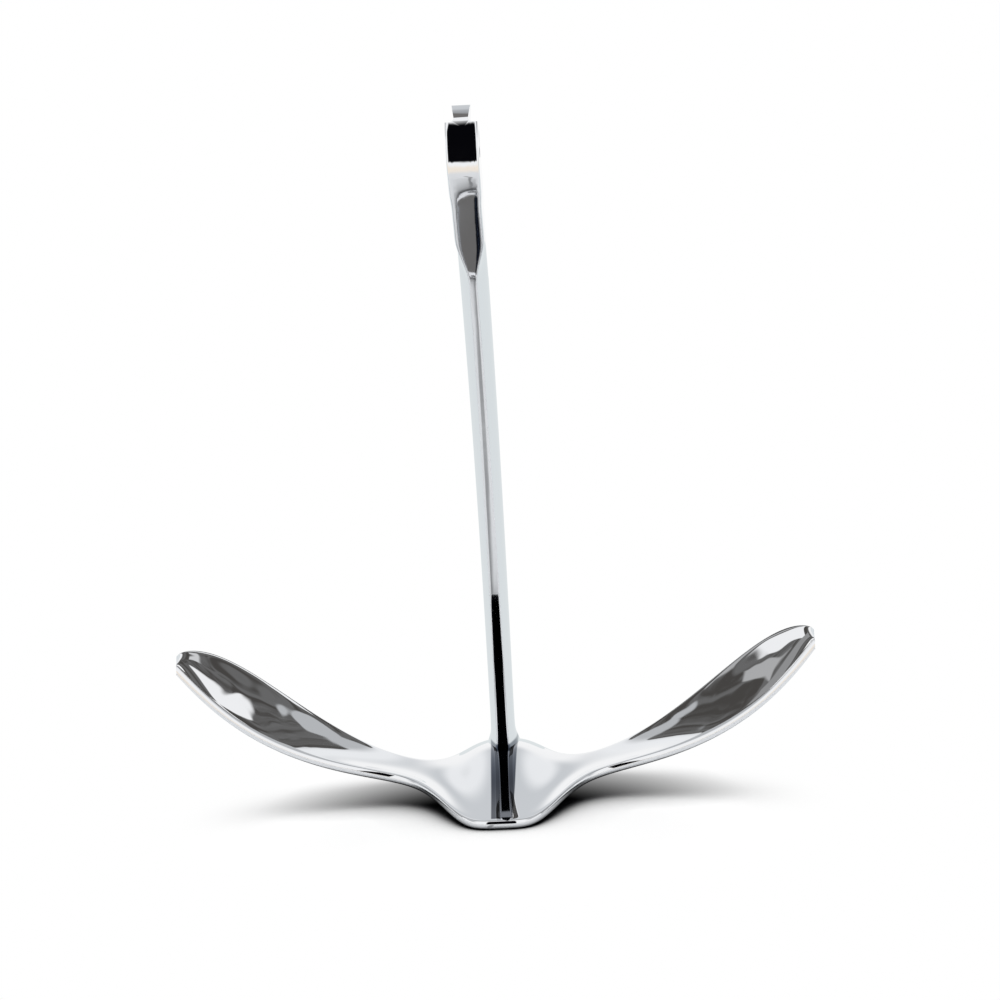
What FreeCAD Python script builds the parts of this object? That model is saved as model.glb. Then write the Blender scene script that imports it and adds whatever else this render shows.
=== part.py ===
import FreeCAD, Part
import math
import os
import Sketcher

# Claw anchor: one closed solid, a three-lobed scoop with an arched shank and a shackle eye.
# Units are millimetres.  X runs across the claw, -Y is the way the centre fluke points, +Z is up.
# The origin lies on the resting plane, below the middle of the anchor's bounding box.

os.makedirs("parts", exist_ok=True)
doc = FreeCAD.newDocument("claw_anchor")

# Driving sizes

SIZES = [
    ("root_place", 102.2, "origin back to the middle of the shank's root"),
    ("half_span", 157.5, "middle of the claw to a side fluke's tip"),
    ("claw_depth", 116, "lip of the centre fluke to the trailing edge"),
    ("root_setback", 123, "lip of the centre fluke to the middle of the root"),
    ("tip_setback", 30, "lip of the centre fluke to a side fluke's tip"),
    ("tip_chord", 5, "width left at a side fluke's very tip"),
    ("trail_fullness", 0.455, "how full the trailing edge sweeps round to the tips"),
    ("scallop_depth", 42, "how far the leading edge steps back beside the centre fluke"),
    ("fluke_half_width", 31, "half width of the centre fluke halfway along its side"),
    ("fluke_squareness", 4.2, "how square the side of the centre fluke turns"),
    ("shoulder_lift", 8.4, "rise of the leading edge beside the centre fluke"),
    ("lead_sweep", 50.5, "slow rise of the leading edge along the arms"),
    ("lead_power", 2.5, "how late the leading edge's slow rise sets in"),
    ("lead_kick", 18.3, "steep rise of the leading edge at the outer arms"),
    ("trail_level", 5.1, "height of the trailing edge's upper side near the middle"),
    ("trail_sweep", 128, "rise of the trailing edge along the arms"),
    ("trail_power", 2.45, "how late the trailing edge's rise sets in"),
    ("trail_ease", 47, "how much the trailing edge eases off toward the tips"),
    ("rim_thick", 5, "thickness of the rounded rim"),
    ("tip_thick", 2.4, "thickness of the rim at a side fluke's very tip"),
    ("rim_run", 3.6, "how far the rim's rounding reaches in"),
    ("rim_slant", 5, "how much further it reaches where the leading edge runs slantwise"),
    ("narrow_chord", 20, "blade width at which hollow, belly and rounding are down to a half"),
    ("hollow_depth", 3.2, "hollow of the upper side between the rims"),
    ("belly_depth", 4.7, "fullness of the under side between the rims"),
    ("crown_half_width", 24, "half width of the thick crown under the root"),
    ("crown_squareness", 3.5, "how square the crown's sides turn"),
    ("crown_reach", 31, "how far the crown stands out behind the trailing edge"),
    ("crown_rise", 9, "rise of the upper side at the back of the crown"),
    ("crown_swell", 11, "further rise of the upper side under the shank's front"),
    ("heel_height", 0.4, "clearance of the heel's lower edge over the resting plane"),
    ("root_start", 5, "height inside the crown at which the shank starts"),
    ("arch_length", 361.7, "length of the shank's arch, from its start to the eye head"),
    ("root_lean", 9, "lean of the shank at the root, degrees"),
    ("head_lean", 52, "lean of the eye head, degrees"),
    ("root_thick", 12.2, "thickness of the shank at the root"),
    ("neck_thick", 13.6, "thickness of the shank below the eye head"),
    ("root_depth", 40, "depth of the shank, front to back, at the root"),
    ("neck_depth", 34, "depth of the shank below the eye head"),
    ("root_edge", 3.2, "half width of the shank's front and back edges at the root"),
    ("neck_edge", 1.8, "half width of those edges below the eye head"),
    ("edge_flat", 0.75, "part of an edge's half width that stays flat"),
    ("edge_turn", 2.4, "how far the rounding of those edges reaches along the flanks"),
    ("flank_swell", 0.2, "part of its full swell that a flank has where the rounding ends"),
    ("flank_land", 0.33, "part of the depth over which a flank stays level"),
    ("root_flare", 3.4, "how far the root flares out on each side"),
    ("flare_height", 13, "height over which the root flare fades"),
    ("flare_squareness", 6, "how suddenly the root flare fades"),
    ("head_run", 9, "end of the arch down to where the flat head starts to narrow"),
    ("taper_length", 36, "length over which the flat head narrows to the shank's edge"),
    ("head_thick", 14.6, "thickness of the eye head"),
    ("head_length", 40, "end of the arch to the middle of the shackle hole"),
    ("shoulder_run", 14, "length over which the neck widens to the eye head"),
    ("shoulder_end", 12, "middle of the shackle hole down to where that widening ends"),
    ("end_radius", 17.5, "radius of the rounded end round the shackle hole"),
    ("crest_tilt", 9, "how far the thin crest over the hole leans back, degrees"),
    ("crest_start", 8, "middle of the shackle hole up to the crest's shoulders"),
    ("cove_radius", 2.2, "radius of the cove between shoulder and crest"),
    ("waist_thick", 6.4, "thickness of the crest at its cove"),
    ("crest_thick", 9.6, "thickness that the crest flares out to"),
    ("bore_diameter", 12, "shackle hole"),
    ("mouth_round", 0.6, "rounding of the shackle hole's mouths"),
    ("clearance", 4, "reach of a cutting outline past the metal"),
]

sheet = doc.addObject("Spreadsheet::Sheet", "Sizes")
for row, (name, value, note) in enumerate(SIZES, start=1):
    sheet.set(f"A{row}", name.replace("_", " "))
    sheet.set(f"B{row}", str(value))
    sheet.set(f"C{row}", note)
    sheet.setAlias(f"B{row}", name)
doc.recompute()


def size(name):
    """The sheet's value as a plain number."""
    return float(sheet.get(name))


def between(a, b, part):
    return a + (b - a) * part


def rise_to_one(distance, half_way, power):
    """Smooth step: 0 near the middle, one half at half_way, 1 far out."""
    reach = (distance / half_way) ** power
    return reach / (1 + reach)


def smooth_step(distance, start, length):
    """Smooth step from 0 at start to 1 a length further on."""
    part = min(max((distance - start) / length, 0), 1)
    return part * part * (3 - 2 * part)


def skin(label, rings, stations):
    """A closed solid under one smooth skin; each ring of control points is a closed section."""
    rows = []
    for column in zip(*rings):
        curve = Part.BSplineCurve()
        curve.interpolate(Points=list(column), Parameters=stations)
        rows.append(curve.getPoles())
    count = len(rows)
    surface = Part.BSplineSurface()
    surface.buildFromPolesMultsKnots(
        [list(ring) for ring in zip(*rows)],
        curve.getMultiplicities(),
        [1] * (count + 1),
        curve.getKnots(),
        list(range(count + 1)),
        False,
        True,
        curve.Degree,
        curve.Degree,
    )
    faces = [surface.toShape()]
    for end in (stations[0], stations[-1]):
        faces.append(Part.Face(Part.Wire(surface.uIso(end).toShape())))
    shell = Part.makeShell(faces)
    shell.sewShape()
    solid = Part.makeSolid(shell)
    if solid.Volume < 0:
        solid.reverse()
    feature = doc.addObject("Part::Feature", label)
    feature.Shape = solid
    feature.Placement = FreeCAD.Placement()
    return feature


# Claw: rounded blade sections all the way from one side tip to the other.
# A station is an angle whose sine is the fraction of the half span, so stations crowd at the tips.

CLAW_ANGLES = [4, 7, 9.5, 12, 14.5, 18, 23, 30, 38, 46, 54, 62, 70, 77, 83, 87, 90]
STEEP_POWER = 6
FRONT_THIRD = 1 / 3
BACK_THIRD = 2 / 3


def climb(reach, slow, power, steep):
    """Height and slope of an edge that rises slowly, then steeply, toward the tips."""
    height = slow * reach ** power + steep * reach ** STEEP_POWER
    rise = power * slow * reach ** (power - 1) + STEEP_POWER * steep * reach ** (STEEP_POWER - 1)
    return height, rise / size("half_span")


def claw_ring(angle):
    """Control points of the blade's section at one station."""
    reach = abs(math.sin(math.radians(angle)))
    fullness = abs(math.cos(math.radians(angle)))
    off_middle = reach * size("half_span")
    step = rise_to_one(off_middle, size("fluke_half_width"), size("fluke_squareness"))
    crown = 1 - rise_to_one(off_middle, size("crown_half_width"), size("crown_squareness"))
    rim = between(size("tip_thick"), size("rim_thick"), math.sqrt(fullness))

    lip_y = size("root_place") - size("root_setback")
    lead_y = lip_y + step * (size("tip_setback") + size("scallop_depth") * fullness ** 2)
    tip_back = size("tip_setback") + size("tip_chord")
    sweep = fullness ** (2 * size("trail_fullness"))
    trail_y = lip_y + between(tip_back, size("claw_depth"), sweep) + size("crown_reach") * crown

    lead_climb, lead_slope = climb(reach, size("lead_sweep"), size("lead_power"), size("lead_kick"))
    lead_low = step * (size("shoulder_lift") + lead_climb)
    lead_high = lead_low + rim * math.hypot(1, lead_slope)

    trail_climb, trail_slope = climb(reach, size("trail_sweep"), size("trail_power"), -size("trail_ease"))
    trail_high = size("trail_level") + trail_climb
    trail_low = between(trail_high - rim * math.hypot(1, trail_slope), size("heel_height"), crown)
    trail_high += size("crown_rise") * crown

    chord = trail_y - lead_y
    breadth = chord / (chord + size("narrow_chord"))
    slanting = 1 + size("rim_slant") * step * (1 - step)
    run = size("rim_run") * breadth * slanting
    hollow = size("hollow_depth") * breadth * (1 - crown)
    belly = size("belly_depth") * breadth * (1 - crown)

    upper = [(lead_y, lead_high), (lead_y + run, lead_high)]
    lower = [(lead_y, lead_low), (lead_y + run, lead_low)]
    swell = size("crown_swell") * crown
    for part, lift in ((FRONT_THIRD, 0), (BACK_THIRD, swell)):
        y = between(lead_y, trail_y, part)
        upper.append((y, between(lead_high, trail_high, part) - hollow + lift))
        lower.append((y, between(lead_low, trail_low, part) - belly))
    upper += [(trail_y - run, trail_high), (trail_y, trail_high)]
    lower += [(trail_y - run, trail_low), (trail_y, trail_low)]
    across = math.copysign(off_middle, angle)
    return [FreeCAD.Vector(across, y, z) for y, z in upper + lower[::-1]]


claw_stations = [-angle for angle in reversed(CLAW_ANGLES)] + [0] + CLAW_ANGLES
claw = skin("ClawScoop", [claw_ring(angle) for angle in claw_stations], claw_stations)


# Shank: sections square to the arch, from inside the crown to past the shackle hole

ARCH_PARTS = [0, 0.025, 0.05, 0.075, 0.11, 0.16, 0.25, 0.4, 0.55, 0.7, 0.85]
TAPER_PARTS = [0, 0.2, 0.4, 0.6, 0.8, 1]
HEAD_PARTS = [0, 0.15, 0.3, 0.4, 0.5, 0.6, 0.7, 0.74, 0.78, 0.82, 0.86, 0.93, 1]
taper_start = size("arch_length") - size("head_run") - size("taper_length")
head_end = size("arch_length") + size("head_length")


def on_arch(distance):
    """Middle line of the shank at a distance from its start: a point and the lean there."""
    start = math.radians(size("root_lean"))
    bend = math.radians(size("head_lean")) - start
    radius = size("arch_length") / bend
    lean = start + min(distance / radius, bend)
    straight = max(distance - size("arch_length"), 0)
    y = radius * (math.cos(lean) - math.cos(start)) - straight * math.sin(lean)
    z = radius * (math.sin(lean) - math.sin(start)) + straight * math.cos(lean)
    return size("root_place") + y, size("root_start") + z, lean


def corner_points(edge, half, deep, swell):
    """A quarter of a section: the narrow edge, its rounding, then the flank to the middle."""
    return [
        (edge * size("edge_flat"), deep),
        (edge, deep),
        (between(edge, half, swell), deep - size("edge_turn")),
        (half, deep * size("flank_land")),
        (half, 0),
    ]


def shank_ring(distance):
    """Control points of the section: a lozenge with narrow edges that squares up into the head."""
    part = min(distance / size("arch_length"), 1)
    flare = size("root_flare") * (1 - rise_to_one(distance, size("flare_height"), size("flare_squareness")))
    half = between(size("root_thick"), size("neck_thick"), part) / 2 + flare
    deep = between(size("root_depth"), size("neck_depth"), part) / 2 + flare
    edge = between(size("root_edge"), size("neck_edge"), part) + flare
    lozenge = corner_points(edge, half, deep, size("flank_swell"))
    shoulder = head_end - size("shoulder_end") - size("shoulder_run")
    widening = smooth_step(distance, shoulder, size("shoulder_run"))
    square = between(size("neck_thick"), size("head_thick"), widening) / 2
    head = corner_points(square, square, size("end_radius"), 1)
    blend = smooth_step(distance, taper_start, size("taper_length"))
    quarter = [
        (between(a[0], b[0], blend), between(a[1], b[1], blend))
        for a, b in zip(lozenge, head)
    ]
    right = [(across, -back) for across, back in quarter]
    right += [(across, back) for across, back in reversed(quarter[:-1])]
    left = [(-across, back) for across, back in reversed(right)]
    y, z, lean = on_arch(distance)
    return [
        FreeCAD.Vector(across, y + back * math.cos(lean), z + back * math.sin(lean))
        for across, back in right + left
    ]


shank_distances = [part * taper_start for part in ARCH_PARTS]
shank_distances += [taper_start + part * size("taper_length") for part in TAPER_PARTS]
shank_distances += [size("arch_length") + part * size("head_length") for part in HEAD_PARTS]
shank = skin("ShankBar", [shank_ring(distance) for distance in shank_distances], shank_distances)

# Eye end: the back half of the head's last section, turned about the middle of the shackle hole

eye_y, eye_z, eye_lean = on_arch(shank_distances[-1])
eye_middle = FreeCAD.Vector(0, eye_y, eye_z)
sideways = FreeCAD.Vector(1, 0, 0)
wide = size("end_radius") + size("clearance")
back_half = Part.makeBox(2 * wide, wide, 2 * wide, FreeCAD.Vector(-wide, 0, -wide))
back_half.rotate(FreeCAD.Vector(), sideways, size("head_lean"))
back_half.translate(eye_middle)
end_section = max(shank.Shape.Faces, key=lambda face: face.CenterOfMass.z)
half_section = doc.addObject("Part::Feature", "HeadHalfSection")
half_section.Shape = end_section.common(back_half)
eye_end = doc.addObject("Part::Revolution", "EyeEnd")
eye_end.Source = half_section
eye_end.Base = eye_middle
eye_end.Axis = sideways
eye_end.Angle = 180
eye_end.Solid = True

moulded = doc.addObject("Part::MultiFuse", "Moulded")
moulded.Shapes = [claw, shank, eye_end]
moulded.Refine = True
doc.recompute()


# Body: the moulded form, then the eye cut into its head

body = doc.addObject("PartDesign::Body", "claw_anchor")
body.Label = "claw_anchor"
body.BaseFeature = moulded
planes = {plane.Role: plane for plane in body.Origin.OriginFeatures}
doc.recompute()

# The middle of the shackle hole, worked out in the sheet from the arch
EYE_ROWS = [
    ("bend_radius", "=arch_length / ((head_lean - root_lean) * pi / 180)"),
    (
        "eye_y",
        "=root_place + bend_radius * (cos(head_lean * 1 deg) - cos(root_lean * 1 deg))"
        " - head_length * sin(head_lean * 1 deg)",
    ),
    (
        "eye_z",
        "=root_start + bend_radius * (sin(head_lean * 1 deg) - sin(root_lean * 1 deg))"
        " + head_length * cos(head_lean * 1 deg)",
    ),
]
for row, (name, formula) in enumerate(EYE_ROWS, start=len(SIZES) + 1):
    sheet.set(f"A{row}", name.replace("_", " "))
    sheet.set(f"B{row}", formula)
    sheet.setAlias(f"B{row}", name)
doc.recompute()


def eye_sketch(label, plane_role, offsets, axis, lean):
    """A sketch whose own origin is the middle of the shackle hole, turned by one of the leans."""
    sketch = body.newObject("Sketcher::SketchObject", label)
    sketch.AttachmentSupport = [(planes[plane_role], "")]
    sketch.MapMode = "FlatFace"
    sketch.AttachmentOffset = FreeCAD.Placement(FreeCAD.Vector(), FreeCAD.Rotation(axis, size(lean)))
    for direction, formula in offsets.items():
        sketch.setExpression(f"AttachmentOffset.Base.{direction}", formula)
    sketch.setExpression("AttachmentOffset.Rotation.Angle", f"<<Sizes>>.{lean} * 1 deg")
    return sketch


def pin(sketch, geometry, point, corner):
    """Hold a point of the sketch at expressions of the sheet's sizes."""
    place, across, along = corner
    for direction, value, formula in (
        ("DistanceX", place.x, across),
        ("DistanceY", place.y, along),
    ):
        held = Sketcher.Constraint(direction, -1, 1, geometry, point, value)
        index = sketch.addConstraint(held)
        sketch.setExpression(f"Constraints[{index}]", formula)


def cut_outline(sketch, corners, arc):
    """A closed outline: straight runs through the corners, closed by an arc."""
    number = len(corners) - 1
    for index in range(number):
        sketch.addGeometry(Part.LineSegment(corners[index][0], corners[index + 1][0]), False)
    sketch.addGeometry(arc, False)
    for index in range(1, number):
        sketch.addConstraint(Sketcher.Constraint("Coincident", index - 1, 2, index, 1))
    sketch.addConstraint(Sketcher.Constraint("Coincident", number, 1, 0, 1))
    sketch.addConstraint(Sketcher.Constraint("Coincident", number, 2, number - 1, 2))
    for index, corner in enumerate(corners[:-1]):
        pin(sketch, index, 1, corner)
    pin(sketch, number - 1, 2, corners[-1])
    return number


def pocket(label, sketch):
    feature = body.newObject("PartDesign::Pocket", label)
    feature.Profile = sketch
    feature.Type = "ThroughAll"
    feature.Midplane = True
    sketch.Visibility = False
    doc.recompute()
    return feature


# Crest: over the hole both cheeks step in through a cove to a thin crest that flares a little

cheek_sketch = eye_sketch(
    "CheekSketch",
    "XZ_Plane",
    {"y": "<<Sizes>>.eye_z", "z": "-<<Sizes>>.eye_y"},
    FreeCAD.Vector(-1, 0, 0),
    "crest_tilt",
)
wide_named = "<<Sizes>>.end_radius + <<Sizes>>.clearance"
start = size("crest_start")
cove = size("cove_radius")
waist = size("waist_thick") / 2
outer = size("head_thick") / 2 + size("clearance")
start_named = "<<Sizes>>.crest_start"
waist_named = "<<Sizes>>.waist_thick / 2"
outer_named = "<<Sizes>>.head_thick / 2 + <<Sizes>>.clearance"
cheek_corners = [
    (FreeCAD.Vector(waist, start + cove, 0), waist_named, f"{start_named} + <<Sizes>>.cove_radius"),
    (FreeCAD.Vector(size("crest_thick") / 2, wide, 0), "<<Sizes>>.crest_thick / 2", wide_named),
    (FreeCAD.Vector(outer, wide, 0), outer_named, wide_named),
    (FreeCAD.Vector(outer, start, 0), outer_named, start_named),
    (FreeCAD.Vector(waist + cove, start, 0), f"{waist_named} + <<Sizes>>.cove_radius", start_named),
]
cove_circle = Part.Circle(FreeCAD.Vector(waist + cove, start + cove, 0), FreeCAD.Vector(0, 0, 1), cove)
cove_arc = Part.ArcOfCircle(cove_circle, math.pi, 1.5 * math.pi)
arc_number = cut_outline(cheek_sketch, cheek_corners, cove_arc)
cheek_sketch.addConstraint(Sketcher.Constraint("Vertical", arc_number, 3, arc_number, 2))
cheek = pocket("Cheek", cheek_sketch)
cheeks = body.newObject("PartDesign::Mirrored", "Cheeks")
cheeks.Originals = [cheek]
cheeks.MirrorPlane = (planes["YZ_Plane"], [""])
body.Tip = cheeks
doc.recompute()

# Shackle hole

bore_sketch = eye_sketch(
    "ShackleHoleSketch",
    "YZ_Plane",
    {"x": "<<Sizes>>.eye_y", "y": "<<Sizes>>.eye_z"},
    FreeCAD.Vector(0, 0, 1),
    "head_lean",
)
bore_sketch.addGeometry(
    Part.Circle(FreeCAD.Vector(), FreeCAD.Vector(0, 0, 1), size("bore_diameter") / 2), False
)
bore_sketch.addConstraint(Sketcher.Constraint("Coincident", 0, 3, -1, 1))
bore_size = bore_sketch.addConstraint(Sketcher.Constraint("Diameter", 0, size("bore_diameter")))
bore_sketch.setExpression(f"Constraints[{bore_size}]", "<<Sizes>>.bore_diameter")
hole = pocket("ShackleHole", bore_sketch)

# Both mouths of the shackle hole are rounded a little, so that they don't cut the rope or the pin

TOUCHING = 0.01
mouth_edges = []
for index, edge in enumerate(hole.Shape.Edges, start=1):
    arms = [vertex.Point - eye_middle for vertex in edge.Vertexes]
    off_bore = [abs(math.hypot(arm.y, arm.z) - size("bore_diameter") / 2) for arm in arms]
    off_middle = abs(edge.CenterOfMass.x)
    if max(off_bore) < TOUCHING and off_middle > size("mouth_round"):
        mouth_edges.append(f"Edge{index}")
mouth_round = body.newObject("PartDesign::Fillet", "HoleMouthRound")
mouth_round.Base = (hole, mouth_edges)
mouth_round.setExpression("Radius", "<<Sizes>>.mouth_round")
doc.recompute()

# Every feature must be sound before the part is written

for item in doc.Objects:
    if "Invalid" in item.State or "Error" in item.State:
        raise RuntimeError(f"{item.Label} did not build")
finished = body.Shape
if finished.isNull() or not finished.isValid() or len(finished.Solids) != 1:
    raise RuntimeError("the anchor is not one sound solid")
finished.exportStep(f"parts/{body.Label}.step")
print(body.Label, "volume mm3", round(finished.Volume), "faces", len(finished.Faces))
print("eye middle", eye_middle, "size", finished.BoundBox)
print("centre of mass", finished.Solids[0].CenterOfMass)
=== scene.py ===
import bmesh
import bpy
import math
from mathutils import Matrix, Vector


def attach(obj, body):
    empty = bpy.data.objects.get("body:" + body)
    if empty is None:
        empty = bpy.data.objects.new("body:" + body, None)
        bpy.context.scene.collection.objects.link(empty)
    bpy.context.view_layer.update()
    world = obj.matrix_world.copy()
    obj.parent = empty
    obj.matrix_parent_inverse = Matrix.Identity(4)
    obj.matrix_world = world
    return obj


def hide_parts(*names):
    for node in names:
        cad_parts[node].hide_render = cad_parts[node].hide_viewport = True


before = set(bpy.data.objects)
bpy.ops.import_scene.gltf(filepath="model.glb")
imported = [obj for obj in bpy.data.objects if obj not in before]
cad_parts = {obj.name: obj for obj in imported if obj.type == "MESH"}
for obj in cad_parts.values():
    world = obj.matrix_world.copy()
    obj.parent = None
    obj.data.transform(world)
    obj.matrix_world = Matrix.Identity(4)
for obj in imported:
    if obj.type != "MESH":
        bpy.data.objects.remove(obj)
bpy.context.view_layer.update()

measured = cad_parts["claw_anchor"]

# %% [markdown]
# The camera stands a metre and a half in front of the claw, a little above it and a little to the
# right, and looks slightly down. It leans over by under three degrees, as a camera held by hand
# does, which is why one fluke's tip sits higher in the picture than the other.
# A long lens keeps the shank from looking stretched.
# %% The camera
CAMERA_PLACE = (0.0443, -1.5054, 0.3682)
LOOKS_DOWN = 7.906
TURNED_LEFT = 1.442
LEANS_OVER = 2.662
LENS = 112.62
SENSOR_WIDTH = 36
NEAREST_SEEN = 0.05

pointing = (
    Matrix.Rotation(math.radians(TURNED_LEFT), 4, "Z")
    @ Matrix.Rotation(math.radians(90 - LOOKS_DOWN), 4, "X")
    @ Matrix.Rotation(math.radians(-LEANS_OVER), 4, "Z")
)
camera = bpy.data.objects.new("camera", bpy.data.cameras.new("camera"))
camera.matrix_world = Matrix.Translation(CAMERA_PLACE) @ pointing
camera.data.lens = LENS
camera.data.sensor_width = SENSOR_WIDTH
camera.data.clip_start = NEAREST_SEEN
bpy.context.collection.objects.link(camera)
bpy.context.scene.camera = camera
bpy.context.scene.view_settings.view_transform = "Standard"
print("camera at", CAMERA_PLACE)

# %% [markdown]
# The measured part is a net of long thin triangles. On a dull part nobody would see them, but a
# mirror doubles every small error of slope, and the borders of its reflections come out ragged.
# So the claw and the shank get a new skin of even, four-sided patches that follow the form.
# Each skin is described by its sections, and a section is a ring of a few control points.
# Sizes in these cells are millimetres. The three small functions serve all sections.
# %% Small functions for the sections
MILLIMETRE = 0.001


def between(a, b, part):
    """The value a share of the way from a to b."""
    return a + (b - a) * part


def rise_to_one(distance, half_way, power):
    """Smooth step: 0 near the middle, one half at half_way, 1 far out."""
    reach = (distance / half_way) ** power
    return reach / (1 + reach)


def smooth_step(distance, start, length):
    """Smooth step from 0 at start to 1 a length further on."""
    part = min(max((distance - start) / length, 0), 1)
    return part * part * (3 - 2 * part)


# %% [markdown]
# The claw runs from one side tip to the other. Its leading edge juts forward in the middle as the
# centre fluke, steps back beside it and climbs along the arms. Its trailing edge climbs too.
# The edges are written first: for each place along the span, how far forward, how far back,
# how high, and how thick the rounded rim is there.
# The centre fluke and the crown each have half a width, and a power that says how suddenly they
# end. Each climb has a slow height, the power it rises with, and a steep height near the tips.
# %% The edges of the claw
ROOT_PLACE = 102.2
HALF_SPAN = 157.5
LIP_REACH = 123
LIP_PLACE = ROOT_PLACE - LIP_REACH
CLAW_DEPTH = 116
TIP_SETBACK = 30
TIP_CHORD = 5
TRAIL_FULLNESS = 0.455
SCALLOP_DEPTH = 42
CENTRE_FLUKE = (31, 4.2)
THICK_CROWN = (24, 3.5)
CROWN_REACH = 30.8
CROWN_RISE = 9
SHOULDER_LIFT = 8.4
LEAD_CLIMB = (50.5, 2.5, 18.3)
TRAIL_CLIMB = (128, 2.45, -47)
TRAIL_LEVEL = 5.1
HEEL_HEIGHT = 0.4
RIM_THICK = 5
TIP_THICK = 2.4
STEEP_POWER = 6


def climb(reach, slow, power, steep):
    """Height and slope of an edge that rises slowly, then steeply, toward the tips."""
    height = slow * reach ** power + steep * reach ** STEEP_POWER
    rise = power * slow * reach ** (power - 1) + STEEP_POWER * steep * reach ** (STEEP_POWER - 1)
    return height, rise / HALF_SPAN


def claw_edges(reach, step, crown):
    """Leading and trailing edge at one place: how far back, upper side, lower side."""
    fullness = math.sqrt(max(1 - reach ** 2, 0))
    rim = between(TIP_THICK, RIM_THICK, math.sqrt(fullness))
    lead_y = LIP_PLACE + step * (TIP_SETBACK + SCALLOP_DEPTH * fullness ** 2)
    sweep = fullness ** (2 * TRAIL_FULLNESS)
    trail_y = LIP_PLACE + between(TIP_SETBACK + TIP_CHORD, CLAW_DEPTH, sweep) + CROWN_REACH * crown
    height, slope = climb(reach, *LEAD_CLIMB)
    lead_low = step * (SHOULDER_LIFT + height)
    lead_high = lead_low + rim * math.hypot(1, slope)
    height, slope = climb(reach, *TRAIL_CLIMB)
    trail_high = TRAIL_LEVEL + height
    trail_low = between(trail_high - rim * math.hypot(1, slope), HEEL_HEIGHT, crown)
    return (lead_y, lead_high, lead_low), (trail_y, trail_high + CROWN_RISE * crown, trail_low)


# %% [markdown]
# Between its two rims the blade is hollow above and full below, like the bowl of a spoon.
# Under the shank it thickens into the crown. A section has twelve control points: four make a
# rim, and the two in the middle of each side carry the hollow, the belly and the crown.
# Where the fluke steps back to an arm its edge runs slanting, so the rim is made longer there.
# %% A section of the claw
RIM_RUN = 3.6
RIM_SLANT = 5
NARROW_CHORD = 20
HOLLOW_DEPTH = 3.2
BELLY_DEPTH = 4.7
CROWN_SWELL = 11


def claw_ring(angle):
    """Control points of the claw's section; the sine of the angle is the share of the half span."""
    reach = abs(math.sin(math.radians(angle)))
    off_middle = reach * HALF_SPAN
    step = rise_to_one(off_middle, *CENTRE_FLUKE)
    crown = 1 - rise_to_one(off_middle, *THICK_CROWN)
    (lead_y, lead_high, lead_low), (trail_y, trail_high, trail_low) = claw_edges(reach, step, crown)
    chord = trail_y - lead_y
    breadth = chord / (chord + NARROW_CHORD)
    run = RIM_RUN * breadth * (1 + RIM_SLANT * step * (1 - step))
    hollow = HOLLOW_DEPTH * breadth * (1 - crown)
    belly = BELLY_DEPTH * breadth * (1 - crown)
    upper = [(lead_y, lead_high), (lead_y + run, lead_high)]
    lower = [(lead_y, lead_low), (lead_y + run, lead_low)]
    for part, lift in ((1 / 3, 0), (2 / 3, CROWN_SWELL * crown)):
        y = between(lead_y, trail_y, part)
        upper.append((y, between(lead_high, trail_high, part) - hollow + lift))
        lower.append((y, between(lead_low, trail_low, part) - belly))
    upper += [(trail_y - run, trail_high), (trail_y, trail_high)]
    lower += [(trail_y - run, trail_low), (trail_y, trail_low)]
    across = math.copysign(off_middle, angle)
    return [Vector((across, y, z)) for y, z in upper + lower[::-1]]


# %% [markdown]
# The shank follows an arch that leans more and more forward and ends straight at the eye head.
# An arc of a circle does this with two values, the lean at its root and the lean at the head.
# %% The arch of the shank
ARCH_LENGTH = 361.7
ROOT_LEAN = math.radians(9)
HEAD_LEAN = math.radians(52)
ROOT_START = 5


def on_arch(distance):
    """Middle line of the shank at a distance from its start: place and lean."""
    radius = ARCH_LENGTH / (HEAD_LEAN - ROOT_LEAN)
    lean = min(ROOT_LEAN + distance / radius, HEAD_LEAN)
    straight = max(distance - ARCH_LENGTH, 0)
    y = radius * (math.cos(lean) - math.cos(ROOT_LEAN)) - straight * math.sin(lean)
    z = radius * (math.sin(lean) - math.sin(ROOT_LEAN)) + straight * math.cos(lean)
    return Vector((0, ROOT_PLACE + y, ROOT_START + z)), lean


# %% [markdown]
# The shank's section is a lozenge with narrow front and back edges. At the root it flares out into
# the crown, and below the eye it squares up into the flat-sided head.
# A quarter of the section is written once and mirrored twice, so that it can't come out lopsided.
# Where a size is a pair, it has its value at the root and its value at the head. The flare's fade
# has a distance and a power instead.
# %% A section of the shank
HEAD_LENGTH = 40
HEAD_END = ARCH_LENGTH + HEAD_LENGTH
TAPER_LENGTH = 36
TAPER_TO_HEAD = 9
TAPER_START = ARCH_LENGTH - TAPER_TO_HEAD - TAPER_LENGTH
SHOULDER_RUN = 14
SHOULDER_TO_END = 12
SHOULDER = HEAD_END - SHOULDER_TO_END - SHOULDER_RUN
ROOT_FLARE = 3.4
FLARE_FADE = (13, 6)
THICKNESS = (12.2, 13.6)
DEPTH = (40, 34)
EDGE_HALF = (3.2, 1.8)
EDGE_FLAT = 0.75
EDGE_TURN = 2.4
FLANK_SWELL = 0.2
FLANK_LAND = 0.33
HEAD_THICK = 14.6
END_RADIUS = 17.5


def quarter_section(edge, half, deep, swell):
    """A narrow edge, its rounding, then the flank to the middle."""
    return [
        (edge * EDGE_FLAT, deep),
        (edge, deep),
        (between(edge, half, swell), deep - EDGE_TURN),
        (half, deep * FLANK_LAND),
        (half, 0),
    ]


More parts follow.
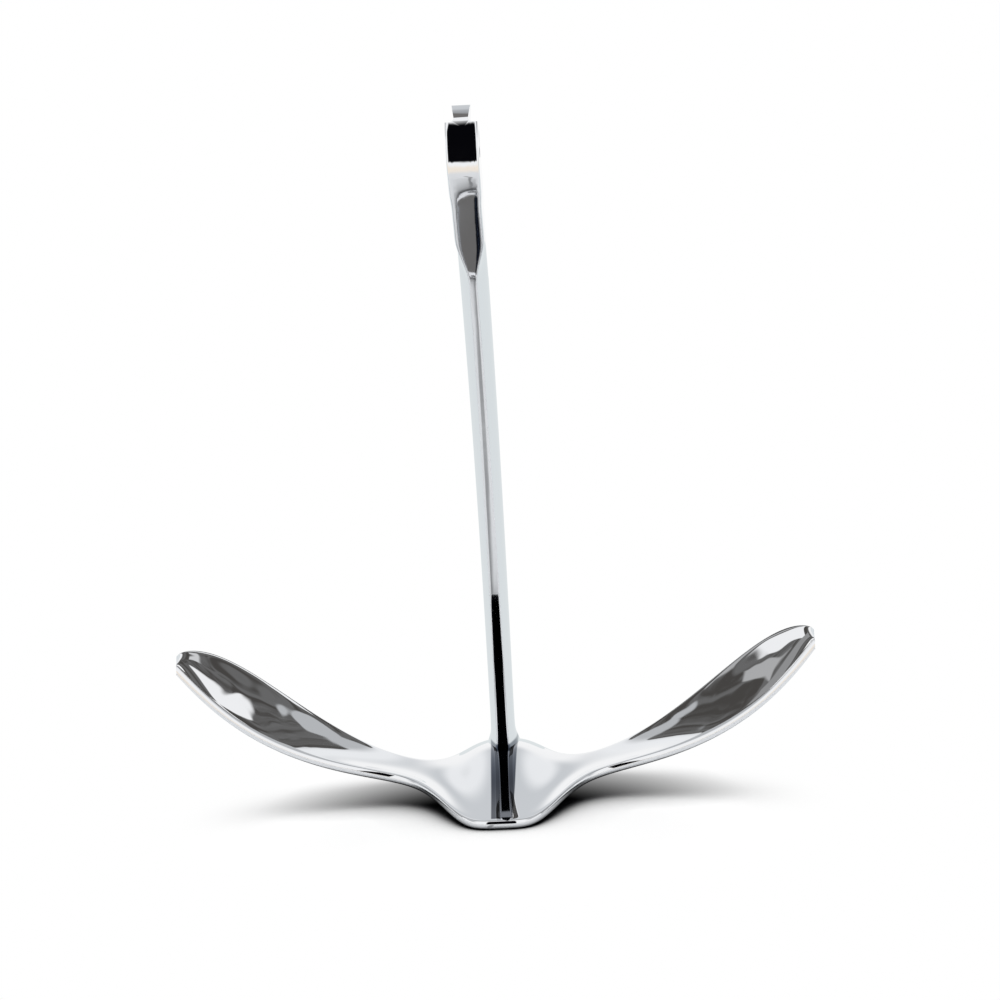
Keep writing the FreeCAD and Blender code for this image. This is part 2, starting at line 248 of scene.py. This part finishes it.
def shank_ring(distance):
    """Control points of the shank's section at a distance along the arch."""
    part = min(distance / ARCH_LENGTH, 1)
    flare = ROOT_FLARE * (1 - rise_to_one(distance, *FLARE_FADE))
    lozenge = quarter_section(
        between(*EDGE_HALF, part) + flare,
        between(*THICKNESS, part) / 2 + flare,
        between(*DEPTH, part) / 2 + flare,
        FLANK_SWELL,
    )
    widening = smooth_step(distance, SHOULDER, SHOULDER_RUN)
    square = between(THICKNESS[1], HEAD_THICK, widening) / 2
    head = quarter_section(square, square, END_RADIUS, 1)
    blend = smooth_step(distance, TAPER_START, TAPER_LENGTH)
    quarter = []
    for slim, wide in zip(lozenge, head):
        quarter.append((between(slim[0], wide[0], blend), between(slim[1], wide[1], blend)))
    right = [(across, -back) for across, back in quarter]
    right += [(across, back) for across, back in reversed(quarter[:-1])]
    left = [(-across, back) for across, back in reversed(right)]
    middle, lean = on_arch(distance)
    backward = Vector((0, math.cos(lean), math.sin(lean)))
    return [middle + Vector((across, 0, 0)) + back * backward for across, back in right + left]


# %% [markdown]
# A skin starts as a plain grid: one row of its vertices for each section, one column for each
# control point. The last column meets the first and the two are merged, which closes the tube.
# Subdivision then rounds the cage into a surface that bends evenly in both directions.
# Subdivision also pulls the surface a little inside its cage, so each ring is first pushed the
# other way by a sixth of its bend, and the finished skin passes through the sections.
# The two ends are filled and creased, so that they stay flat.
# %% A skin through sections
TOUCHING = 1e-7
BEND_TO_PUSH = 6


def skin(name, rings, rounds):
    """A closed, evenly curved skin through the rings."""
    shape = bmesh.new()
    around = len(rings[0])
    grid = bmesh.ops.create_grid(shape, x_segments=around, y_segments=len(rings) - 1, size=1)
    for row, ring in enumerate(rings):
        inside = 0 < row < len(rings) - 1
        for column in range(around + 1):
            spot = column % around
            place = ring[spot]
            if inside:
                bend = rings[row - 1][spot] - 2 * place + rings[row + 1][spot]
                place = place - bend / BEND_TO_PUSH
            grid["verts"][row * (around + 1) + column].co = place * MILLIMETRE
    bmesh.ops.remove_doubles(shape, verts=shape.verts, dist=TOUCHING)
    crease = shape.edges.layers.float.new("crease_edge")
    ends = [edge for edge in shape.edges if edge.is_boundary]
    for edge in ends:
        edge[crease] = 1.0
    bmesh.ops.holes_fill(shape, edges=ends, sides=0)
    bmesh.ops.recalc_face_normals(shape, faces=shape.faces)
    piece = bpy.data.objects.new(name, bpy.data.meshes.new(name))
    shape.to_mesh(piece.data)
    shape.free()
    bpy.context.collection.objects.link(piece)
    rounding = piece.modifiers.new("rounding", "SUBSURF")
    rounding.levels = rounds
    rounding.render_levels = rounds
    return piece


def settle(piece):
    """Keep what the modifiers make as the piece's own mesh."""
    bpy.context.view_layer.update()
    result = piece.evaluated_get(bpy.context.evaluated_depsgraph_get())
    settled = bpy.data.meshes.new_from_object(result)
    piece.modifiers.clear()
    piece.data = settled
    print(piece.name, "has", len(piece.data.polygons), "faces")


# %% [markdown]
# Claw and shank are made as two skins. The claw's sections stand closer together toward the tips,
# where it climbs fastest, because they are spaced by equal angles and not by equal widths.
# The shank starts inside the crown and stops below the shackle hole.
# %% The two skins
TIP_ANGLE = 90
CLAW_STEPS = 60
CLAW_ROUNDS = 3
SHANK_STEPS = 84
SHANK_ROUNDS = 2
CUT_TO_END = 16
HEAD_PLANE = HEAD_END - CUT_TO_END

turns = [2 * TIP_ANGLE * step / CLAW_STEPS for step in range(CLAW_STEPS + 1)]
claw_rings = [claw_ring(turn - TIP_ANGLE) for turn in turns]
body = skin("anchor_body", claw_rings, CLAW_ROUNDS)
settle(body)
shank_rings = [shank_ring(HEAD_PLANE * step / SHANK_STEPS) for step in range(SHANK_STEPS + 1)]
bar = skin("shank_bar", shank_rings, SHANK_ROUNDS)
settle(bar)

# %% [markdown]
# The two skins are joined into one closed body, as the real anchor is one body. Because the shank
# starts inside the crown, the join is clean all round the flared root.
# Two passing materials tell the claw's faces from the shank's once both are one body.
# %% Claw and shank become one
sides = [bpy.data.materials.new(name) for name in ("claw_side", "shank_side")]
body.data.materials.append(sides[0])
for side in sides:
    bar.data.materials.append(side)
for face in bar.data.polygons:
    face.material_index = 1
join = body.modifiers.new("join", "BOOLEAN")
join.operation = "UNION"
join.solver = "MANIFOLD"
join.object = bar
settle(body)
bpy.data.objects.remove(bar)

# %% [markdown]
# The eye head has flat cheeks, a round hole and a thin crest, and the measured part shows these
# well. A copy of it is merged and cut square to the shank, and only the part above the cut stays.
# Both shells end flat on the same plane, so nothing shows where they meet.
# %% The eye head
middle, lean = on_arch(HEAD_PLANE)
upward = Vector((0, -math.sin(lean), math.cos(lean)))
head = bmesh.new()
head.from_mesh(measured.data)
bmesh.ops.remove_doubles(head, verts=head.verts, dist=TOUCHING)
everything = head.verts[:] + head.edges[:] + head.faces[:]
bmesh.ops.bisect_plane(
    head,
    geom=everything,
    dist=TOUCHING,
    plane_co=middle * MILLIMETRE,
    plane_no=upward,
    clear_inner=True,
)
rim_edges = [edge for edge in head.edges if edge.is_boundary]
bmesh.ops.holes_fill(head, edges=rim_edges, sides=0)
print("the eye head has", len(head.faces), "faces")

# %% [markdown]
# Edges that fold by more than the sharp angle stay crisp, and so does the line round the shank's
# foot, where it meets the claw. All others shade smoothly. Left alone, Blender weighs the faces
# at a corner by their angles, so a small sliver can count as much as a large face, and a mirror
# shows that. So here the faces are weighed by their areas.
# %% Smooth and crisp edges
SHARP = math.radians(32)

head.from_mesh(body.data)
for face in head.faces:
    face.smooth = True
foot_edges = 0
for edge in head.edges:
    at_foot = len({face.material_index for face in edge.link_faces}) > 1
    foot_edges += at_foot
    edge.smooth = edge.calc_face_angle(0) < SHARP and not at_foot
head.to_mesh(body.data)
head.free()
print("edges round the shank's foot:", foot_edges)
even = body.modifiers.new("even_shading", "WEIGHTED_NORMAL")
even.keep_sharp = True
settle(body)

# %% [markdown]
# Shading trees are written with a few short words, so that a material reads like a recipe.
# East is to the right in the picture, and north is away from the lens.
# The Mix node keeps sockets for every kind of value, so those for colours go by their place.
# %% Words for shading
WHITE = (1.0, 1.0, 1.0, 1.0)
BLACK = (0.002, 0.002, 0.003, 1.0)
MIX_SHARE = 0
MIX_FIRST = 6
MIX_SECOND = 7
MIX_COLOUR = 2


class Shading:
    """A shading tree that is written one short call at a time."""

    def __init__(self, owner):
        owner.use_nodes = True
        self.nodes = owner.node_tree.nodes
        self.links = owner.node_tree.links
        self.nodes.clear()

    def feed(self, target, value):
        """Give a socket a fixed value or the output of another node."""
        if isinstance(value, (int, float, tuple)):
            target.default_value = value
        else:
            self.links.new(value, target)

    def add(self, kind, **inputs):
        """Make a node and feed its sockets by name."""
        node = self.nodes.new(kind)
        for name, value in inputs.items():
            self.feed(node.inputs[name.replace("_", " ")], value)
        return node

    def maths(self, operation, first, second=0.0):
        """One sum on one or two values."""
        node = self.nodes.new("ShaderNodeMath")
        node.operation = operation
        self.feed(node.inputs[0], first)
        self.feed(node.inputs[1], second)
        return node.outputs[0]

    def soft_step(self, value, start, end):
        """0 at start and 1 at end, with a soft run between."""
        node = self.nodes.new("ShaderNodeMapRange")
        node.interpolation_type = "SMOOTHSTEP"
        for name, given in (("Value", value), ("From Min", start), ("From Max", end)):
            self.feed(node.inputs[name], given)
        return node.outputs["Result"]

    def within(self, value, low, high, blur):
        """1 between low and high, 0 outside, with blurred ends."""
        above = self.soft_step(value, low - blur, low + blur)
        return self.maths("MULTIPLY", above, self.soft_step(value, high + blur, high - blur))

    def blend(self, share, first, second):
        """The first colour where the share is 0, the second where it is 1."""
        node = self.nodes.new("ShaderNodeMix")
        node.data_type = "RGBA"
        for place, given in ((MIX_SHARE, share), (MIX_FIRST, first), (MIX_SECOND, second)):
            self.feed(node.inputs[place], given)
        return node.outputs[MIX_COLOUR]

    def cover(self, share, under, over):
        """The first surface where the share is 0, the second where it is 1."""
        node = self.nodes.new("ShaderNodeMixShader")
        for place, given in enumerate((share, under, over)):
            self.feed(node.inputs[place], given)
        return node.outputs[0]

    def noise(self, **inputs):
        """The value of a soft noise."""
        return self.add("ShaderNodeTexNoise", **inputs).outputs["Fac"]

    def apart(self, vector):
        """The three parts of a vector: east, north and up."""
        return self.add("ShaderNodeSeparateXYZ", Vector=vector).outputs


# %% [markdown]
# A picture stores its greys on a curve, and a shading tree wants plain amounts of light. So each
# grey of the room is written as the level it has in a picture, and one function undoes the curve.
# %% Greys as in a picture
BRIGHTEST = 255
CURVE_OFFSET = 0.055
CURVE_POWER = 2.4


def grey(level, warm=0.0):
    """A colour from its level in a picture, made a little warmer or colder."""
    linear = ((level / BRIGHTEST + CURVE_OFFSET) / (1 + CURVE_OFFSET)) ** CURVE_POWER
    return (linear * (1 + warm), linear, linear * (1 - warm), 1.0)


# %% [markdown]
# The steel is polished to a mirror but not perfectly. The buffing wheel leaves the thin outer arms
# faintly wavy, while the thick middle and the shank stay true. Two soft noises do this as a bump:
# a broad one that fades in along the arms, and a very slight one everywhere.
# Waves cut into the mesh would need far more faces, and they are too shallow to show in outline.
# %% Waves in the polish
WAVE_START = 0.070
WAVE_FULL = 0.120
WAVE_HEIGHT = 0.0004
WAVE_SCALE = 38.0
WAVE_OFFSET = (0.71, 0.29, 0.17)
RIPPLE_HEIGHT = 0.00001
RIPPLE_SCALE = 90.0

steel = bpy.data.materials.new("polished_steel")
mix = Shading(steel)
place = mix.add("ShaderNodeTexCoord").outputs["Object"]
east, north, up = mix.apart(place)
outer = mix.soft_step(mix.maths("ABSOLUTE", east), WAVE_START, WAVE_FULL)
moved = mix.nodes.new("ShaderNodeVectorMath")
mix.feed(moved.inputs[0], place)
mix.feed(moved.inputs[1], WAVE_OFFSET)
wave = mix.noise(Vector=moved.outputs[0], Scale=WAVE_SCALE, Detail=1.0)
wave = mix.maths("MULTIPLY", wave, mix.maths("MULTIPLY", outer, WAVE_HEIGHT))
ripple = mix.noise(Vector=place, Scale=RIPPLE_SCALE, Detail=1.0)
ripple = mix.maths("MULTIPLY", ripple, RIPPLE_HEIGHT)
uneven = mix.maths("ADD", wave, ripple)
bump = mix.add("ShaderNodeBump", Height=uneven, Strength=1.0, Distance=1.0).outputs[0]
print("waves up to", round(WAVE_HEIGHT / MILLIMETRE, 1), "mm along the arms")

# %% [markdown]
# A mirror that is equally sharp everywhere looks made by a computer. Wiping and handling leave
# fine grease and scratches, so a third noise makes the steel a very little rougher in places.
# %% Traces of wiping
WIPE_SCALE = 55.0
WIPE_DETAIL = 4.0
SMOOTHEST = 0.008
WIPED_ROUGHER = 0.03

wiped = mix.noise(Vector=place, Scale=WIPE_SCALE, Detail=WIPE_DETAIL)
rough = mix.maths("ADD", mix.maths("MULTIPLY", wiped, WIPED_ROUGHER), SMOOTHEST)
print("roughness from", SMOOTHEST, "to", round(SMOOTHEST + WIPED_ROUGHER, 3))

# %% [markdown]
# In front of the shank's foot a narrow strip of the palm is painted darker. This is a painted
# reflection that stands in for the dark mirror image of the shank's foot in the palm. It widens a
# little toward the shank and ends short of the lip.
# Where it lies is worked out from the place on the anchor, so it needs no picture laid on.
# %% The painted dark reflection in front of the foot
PAINTED_DARK_BY_LIP = (0.03, 0.04, 0.065, 1.0)
PAINTED_DARK_BY_SHANK = (0.12, 0.14, 0.18, 1.0)
PAINTED_DARK_RUN = (0.03, 0.08)
STRIP_MIDDLE = 0.0005
STRIP_HALF = 0.0055
STRIP_WIDENS = 0.016
STRIP_BLUR = 0.0003
STRIP_HEIGHT = (0.0035, 0.0207)
STRIP_END = -0.0178
STRIP_END_BLUR = 0.0007

# Painted reflection: the palm's colour is made darker in a strip where the shank's foot mirrors in
# it.
off_middle = mix.maths("ABSOLUTE", mix.maths("SUBTRACT", east, STRIP_MIDDLE))
half_width = mix.maths("ADD", mix.maths("MULTIPLY", north, STRIP_WIDENS), STRIP_HALF)
painted_dark = mix.soft_step(mix.maths("SUBTRACT", off_middle, half_width), STRIP_BLUR, -STRIP_BLUR)
painted_dark = mix.maths("MULTIPLY", painted_dark, mix.within(up, *STRIP_HEIGHT, STRIP_END_BLUR))
past_lip = mix.soft_step(north, STRIP_END - STRIP_END_BLUR, STRIP_END + STRIP_END_BLUR)
painted_dark = mix.maths("MULTIPLY", painted_dark, past_lip)
painted_dark_colour = mix.blend(mix.soft_step(north, *PAINTED_DARK_RUN), PAINTED_DARK_BY_LIP, PAINTED_DARK_BY_SHANK)
print("dull strip", round(2 * STRIP_HALF / MILLIMETRE, 1), "mm wide")

# %% [markdown]
# Polished stainless steel reflects most of the light, here a little more of the blue. It is one
# metal surface, and the waves, the wiping and the painted dark reflection in front of the foot are
# all fed into it.
# The body then rides on the part's root and shows in the place of the measured mesh.
# %% The polished steel
BRIGHT_STEEL = (0.86, 0.87, 0.89, 1.0)

# The base colour carries the painted dark reflection in front of the shank's foot.
surface = mix.add(
    "ShaderNodeBsdfPrincipled",
    Base_Color=mix.blend(painted_dark, BRIGHT_STEEL, painted_dark_colour),
    Metallic=1.0,
    Roughness=rough,
    Normal=bump,
)
mix.add("ShaderNodeOutputMaterial", Surface=surface.outputs[0])
body.data.materials.clear()
for side in sides:
    bpy.data.materials.remove(side)
body.data.materials.append(steel)
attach(body, "root")
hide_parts("claw_anchor")
print("the steel is made of", len(mix.nodes), "nodes")

# %% [markdown]
# The room as polished steel sees it is a light tent: pale all round, a little darker toward the
# top, where the tent gathers. Straight behind the claw and again to both sides the far wall is a
# little darker, which shades the palm. Cloths could be hung up as real sheets, but each would
# also shade the table. Painted on the world they show in the steel and do nothing else.
# Directions are given in degrees: across from straight behind the claw, and height.
# %% The light tent
IN_DEGREES = math.degrees(1)
WALL_BEHIND = grey(212, -0.03)
WALL_BESIDE = grey(246, -0.01)
WALL_ASIDE = grey(192, -0.02)
WALL_BY_TABLE = grey(252)
TENT_TOP = grey(170, -0.03)
TENT_CROWN = grey(114, 0.04)
BEHIND_TO_BESIDE = (3, 12)
BESIDE_TO_ASIDE = (15, 22)
TABLE_TO_WALL = (9, 20)
WALL_TO_TOP = (44, 70)
TOP_TO_CROWN = (68, 82)

world = bpy.data.worlds.new("studio")
bpy.context.scene.world = world
room = Shading(world)
east, north, up = room.apart(room.add("ShaderNodeTexCoord").outputs["Generated"])
across = room.maths("ABSOLUTE", room.maths("ARCTAN2", east, north))
across = room.maths("MULTIPLY", across, IN_DEGREES)
height = room.maths("MULTIPLY", room.maths("ARCSINE", up), IN_DEGREES)

far_wall = room.blend(room.soft_step(across, *BEHIND_TO_BESIDE), WALL_BEHIND, WALL_BESIDE)
far_wall = room.blend(room.soft_step(across, *BESIDE_TO_ASIDE), far_wall, WALL_ASIDE)
walls = room.blend(room.soft_step(height, *TABLE_TO_WALL), WALL_BY_TABLE, far_wall)
walls = room.blend(room.soft_step(height, *WALL_TO_TOP), walls, TENT_TOP)
walls = room.blend(room.soft_step(height, *TOP_TO_CROWN), walls, TENT_CROWN)
print("the tent is made of", len(room.nodes), "nodes")

# %% [markdown]
# Either side behind the claw hangs a dull curtain. The outer arms mirror them and turn dark there.
# A curtain's upper edge rises outward from the middle: steeply as far as a knee, then more and
# more gently, and nowhere above the curtain's top. The one on the west side hangs a little lower.
# %% The edge of the curtains
CURTAIN_KNEE = 19
KNEE_HEIGHT = 25.2
INNER_SLOPE = 0.85
OUTER_SLOPE = 0.42
OUTER_BEND = 0.0075
CURTAIN_TOP = 28.9
WEST_DROP = 3.2
WEST_TOP_DROP = 2.4

is_west = room.maths("LESS_THAN", east, 0.0)
is_east = room.maths("SUBTRACT", 1.0, is_west)
past_knee = room.maths("SUBTRACT", across, CURTAIN_KNEE)
inner = room.maths("MULTIPLY", past_knee, INNER_SLOPE)
outer = room.maths("MULTIPLY", past_knee, OUTER_SLOPE)
bend = room.maths("MULTIPLY", room.maths("MULTIPLY", past_knee, past_knee), OUTER_BEND)
outer = room.maths("SUBTRACT", outer, bend)
edge = room.maths("ADD", room.maths("MINIMUM", inner, outer), KNEE_HEIGHT)
edge = room.maths("SUBTRACT", edge, room.maths("MULTIPLY", is_west, WEST_DROP))
ceiling = room.maths("SUBTRACT", CURTAIN_TOP, room.maths("MULTIPLY", is_west, WEST_TOP_DROP))
edge = room.maths("MINIMUM", edge, ceiling)
print("curtains up to", CURTAIN_TOP, "degrees high")

# %% [markdown]
# The curtains fill the space below that edge down to just over the table. Their cloth hangs in
# soft folds, which a twisted noise draws as lighter and darker patches.
# %% The cloth of the curtains
CURTAIN_START = 18
CURTAIN_END = 67
CURTAIN_FOOT = (4, 6)
EDGE_BLUR = 0.15
SIDE_BLUR = 0.5
FOLD_SCALE = 9.0
FOLD_DETAIL = 2.0
FOLD_TWIST = 1.5
FOLD_RUN = (0.35, 0.65)
CLOTH_IN_SHADE = grey(72, 0.06)
CLOTH_IN_LIGHT = grey(108, 0.01)

curtain = room.soft_step(room.maths("SUBTRACT", edge, height), -EDGE_BLUR, EDGE_BLUR)
hangs = room.within(across, CURTAIN_START, CURTAIN_END, SIDE_BLUR)
curtain = room.maths("MULTIPLY", curtain, hangs)
curtain = room.maths("MULTIPLY", curtain, room.soft_step(height, *CURTAIN_FOOT))
folds = room.noise(Scale=FOLD_SCALE, Detail=FOLD_DETAIL, Distortion=FOLD_TWIST)
cloth = room.blend(room.soft_step(folds, *FOLD_RUN), CLOTH_IN_SHADE, CLOTH_IN_LIGHT)
walls = room.blend(curtain, walls, cloth)
print("curtains from", CURTAIN_START, "to", CURTAIN_END, "degrees across")

# %% [markdown]
# Slanting openings in the curtains let the tent show through as the pale patches near the tips.
# Each has a side, a colour, a near edge and a far edge with a slant each, a bottom and a top.
# A slant says how far an edge moves outward for each degree above the height given for all.
# %% Openings in the curtains
SLANT_HEIGHT = 17
OPENING_BLUR = 0.4
OPENINGS = (
    (is_east, grey(252), (29, 0.75), (33.3, 1.2), (16.2, 26.5)),
    (is_east, grey(215), (41, 1), (44, 1), (16, 21.9)),
    (is_west, grey(252), (39, 1.75), (80, 0), (12.5, 23.4)),
    (is_west, grey(180), (33.5, 1.3), (35.6, 1.9), (18, 24.3)),
    (is_west, grey(150), (26, 0), (34.7, 0), (8, 20.2)),
)

raised = room.maths("SUBTRACT", height, SLANT_HEIGHT)
for on_side, colour, (near, near_slant), (far, far_slant), heights in OPENINGS:
    past_near = room.maths("SUBTRACT", across, room.maths("MULTIPLY", raised, near_slant))
    past_far = room.maths("SUBTRACT", across, room.maths("MULTIPLY", raised, far_slant))
    shown = room.soft_step(past_near, near - OPENING_BLUR, near + OPENING_BLUR)
    shown = room.maths("MULTIPLY", shown, on_side)
    before_far = room.soft_step(past_far, far + OPENING_BLUR, far - OPENING_BLUR)
    shown = room.maths("MULTIPLY", shown, before_far)
    shown = room.maths("MULTIPLY", shown, room.within(height, *heights, OPENING_BLUR))
    walls = room.blend(shown, walls, colour)
print("openings in the curtains:", len(OPENINGS))

# %% [markdown]
# Toward the camera the tent is white, and open by a tall slit for the lens. Behind that slit the
# room is black, which makes the dark line down the shank.
# Only mirrored rays see this room. The lens itself sees plain white, and the table is lit by a
# dim room that is brighter behind the claw.
# %% The slit, and who sees what
FRONT_RUN = (100, 130)
SLIT_EDGE = (162, 166)
SLIT_TOP = (72, 58)
ROOM_IN_FRONT = grey(40)
ROOM_BEHIND = grey(150)
ROOM_RUN = (-0.4, 0.7)

walls = room.blend(room.soft_step(across, *FRONT_RUN), walls, WHITE)
slit = room.soft_step(across, *SLIT_EDGE)
slit = room.maths("MULTIPLY", slit, room.soft_step(height, *SLIT_TOP))
walls = room.blend(slit, walls, BLACK)
path = room.add("ShaderNodeLightPath")
dim = room.blend(room.soft_step(north, *ROOM_RUN), ROOM_IN_FRONT, ROOM_BEHIND)
seen = room.blend(path.outputs["Is Glossy Ray"], dim, walls)
seen = room.blend(path.outputs["Is Camera Ray"], seen, WHITE)
background = room.add("ShaderNodeBackground", Color=seen)
room.add("ShaderNodeOutputWorld", Surface=background.outputs[0])
print("the room is made of", len(room.nodes), "nodes")

# %% [markdown]
# The table is white paper, much wider than the picture, so that its edge never shows. A grid of
# one face is enough. It is part of the stage and not of the anchor.
# %% The table
TABLE_REACH = 4.0

shape = bmesh.new()
bmesh.ops.create_grid(shape, x_segments=1, y_segments=1, size=TABLE_REACH)
floor = bpy.data.objects.new("floor", bpy.data.meshes.new("floor"))
shape.to_mesh(floor.data)
shape.free()
bpy.context.collection.objects.link(floor)
print("the table is", 2 * TABLE_REACH, "metres wide")

# %% [markdown]
# The steel sees the table dark in two places. The table runs out under the camera, in a wedge as
# wide as the slit, and there the steel sees black. A small dark spot just in front of the lip
# is where the fluke shades the table most: it makes the fine line down the middle of the shank.
# %% Where the steel sees the table dark
TABLE_FRONT = -0.40
SLIT_SPREAD = 0.28
WEDGE_BLUR = 0.03
LIP_SHADOW_EAST = (-0.0077, -0.0043)
LIP_SHADOW_NORTH = (-0.046, -0.022)
LIP_BLUR_EAST = 0.001
LIP_BLUR_NORTH = 0.003
LIP_SHADOW_DEPTH = 0.55

paper = bpy.data.materials.new("white_table")
top = Shading(paper)
place = top.add("ShaderNodeTexCoord").outputs["Object"]
east, north = top.apart(place)[:2]
beyond = top.soft_step(north, TABLE_FRONT + WEDGE_BLUR, TABLE_FRONT - WEDGE_BLUR)
aside = top.maths("DIVIDE", top.maths("ABSOLUTE", east), top.maths("MULTIPLY", north, -1.0))
in_wedge = top.soft_step(aside, SLIT_SPREAD + WEDGE_BLUR, SLIT_SPREAD - WEDGE_BLUR)
dark = top.maths("MULTIPLY", beyond, in_wedge)
by_lip = top.within(east, *LIP_SHADOW_EAST, LIP_BLUR_EAST)
by_lip = top.maths("MULTIPLY", by_lip, top.within(north, *LIP_SHADOW_NORTH, LIP_BLUR_NORTH))
dark = top.maths("MAXIMUM", dark, top.maths("MULTIPLY", by_lip, LIP_SHADOW_DEPTH))
print("the table runs out", -TABLE_FRONT, "metres in front of the middle")

# %% [markdown]
# Close to the anchor the paper shows the soft shadow, darkest where the fluke touches it. The
# lamp makes most of it, and how near the steel hangs over the paper darkens it a little more.
# %% The shaded paper
PAPER = (0.95, 0.95, 0.95, 1.0)
PAPER_IN_STEEL = (0.74, 0.75, 0.76, 1.0)
SHADE_REACH = 0.035
SHADE_POWER = 2.5

glossy = top.add("ShaderNodeLightPath").outputs["Is Glossy Ray"]
open_sky = top.add("ShaderNodeAmbientOcclusion", Distance=SHADE_REACH).outputs["AO"]
open_sky = top.maths("POWER", open_sky, SHADE_POWER)
colour = top.blend(open_sky, BLACK, top.blend(glossy, PAPER, PAPER_IN_STEEL))
shaded = top.add("ShaderNodeBsdfDiffuse", Color=colour)
print("steel shades the paper up to", round(SHADE_REACH / MILLIMETRE, 1), "mm away")

# %% [markdown]
# Further out the paper runs into the white of the picture, so there it simply glows. The steel
# sees it a little darker than the lens does: greyish behind the claw, a little warm some way in
# front of it, and white further to the front. The fades are distances from the middle, and the
# changes of colour are places along the north, all in metres.
# %% The paper further out
FADE_IN_PICTURE = (0.05, 0.17)
FADE_IN_STEEL = (0.10, 0.20)
GREY_BEHIND = (0.76, 0.80, 0.81, 1.0)
GREY_IN_FRONT = (0.87, 0.88, 0.89, 1.0)
WARM = (0.98, 0.89, 0.78, 1.0)
BEHIND_TO_FRONT = (0.02, -0.02)
FRONT_TO_WARM = (-0.055, -0.08)
WARM_TO_WHITE = (-0.22, -0.34)

away = top.nodes.new("ShaderNodeVectorMath")
away.operation = "LENGTH"
top.feed(away.inputs[0], place)
away = away.outputs["Value"]
seen_far = top.soft_step(away, *FADE_IN_PICTURE)
mirrored_far = top.soft_step(away, *FADE_IN_STEEL)
far = top.add("ShaderNodeMix", Factor=glossy, A=seen_far, B=mirrored_far).outputs["Result"]
mirrored = top.blend(top.soft_step(north, *BEHIND_TO_FRONT), GREY_BEHIND, GREY_IN_FRONT)
mirrored = top.blend(top.soft_step(north, *FRONT_TO_WARM), mirrored, WARM)
mirrored = top.blend(top.soft_step(north, *WARM_TO_WHITE), mirrored, WHITE)
glowing = top.add("ShaderNodeEmission", Color=top.blend(glossy, WHITE, mirrored))
print("the paper is plain white from", FADE_IN_PICTURE[1], "metres out")

# %% [markdown]
# The three finishes of the paper lie over each other: the shaded one near the anchor, the glowing
# one further out, and the black one where only the steel sees it.
# %% The finished paper
unlit = top.add("ShaderNodeEmission", Color=BLACK)
finish = top.cover(far, shaded.outputs[0], glowing.outputs[0])
finish = top.cover(top.maths("MULTIPLY", dark, glossy), finish, unlit.outputs[0])
top.add("ShaderNodeOutputMaterial", Surface=finish)
floor.data.materials.append(paper)
print("the paper is made of", len(top.nodes), "nodes")

# %% [markdown]
# One large soft light hangs straight over the anchor. It draws the shadow: dark under the centre
# fluke, which touches the table, and fading out under the arms as they climb away from it.
# It is hidden from the steel, which would show it as a bright square.
# %% The overhead light
LAMP_SIZE = 1.4
LAMP_POWER = 31
LAMP_HEIGHT = 1.6

lamp = bpy.data.lights.new("overhead_light", "AREA")
lamp.size = LAMP_SIZE
lamp.energy = LAMP_POWER
overhead = bpy.data.objects.new("overhead_light", lamp)
overhead.location = (0.0, 0.0, LAMP_HEIGHT)
overhead.visible_glossy = False
bpy.context.collection.objects.link(overhead)
print("the light hangs", LAMP_HEIGHT, "metres up")
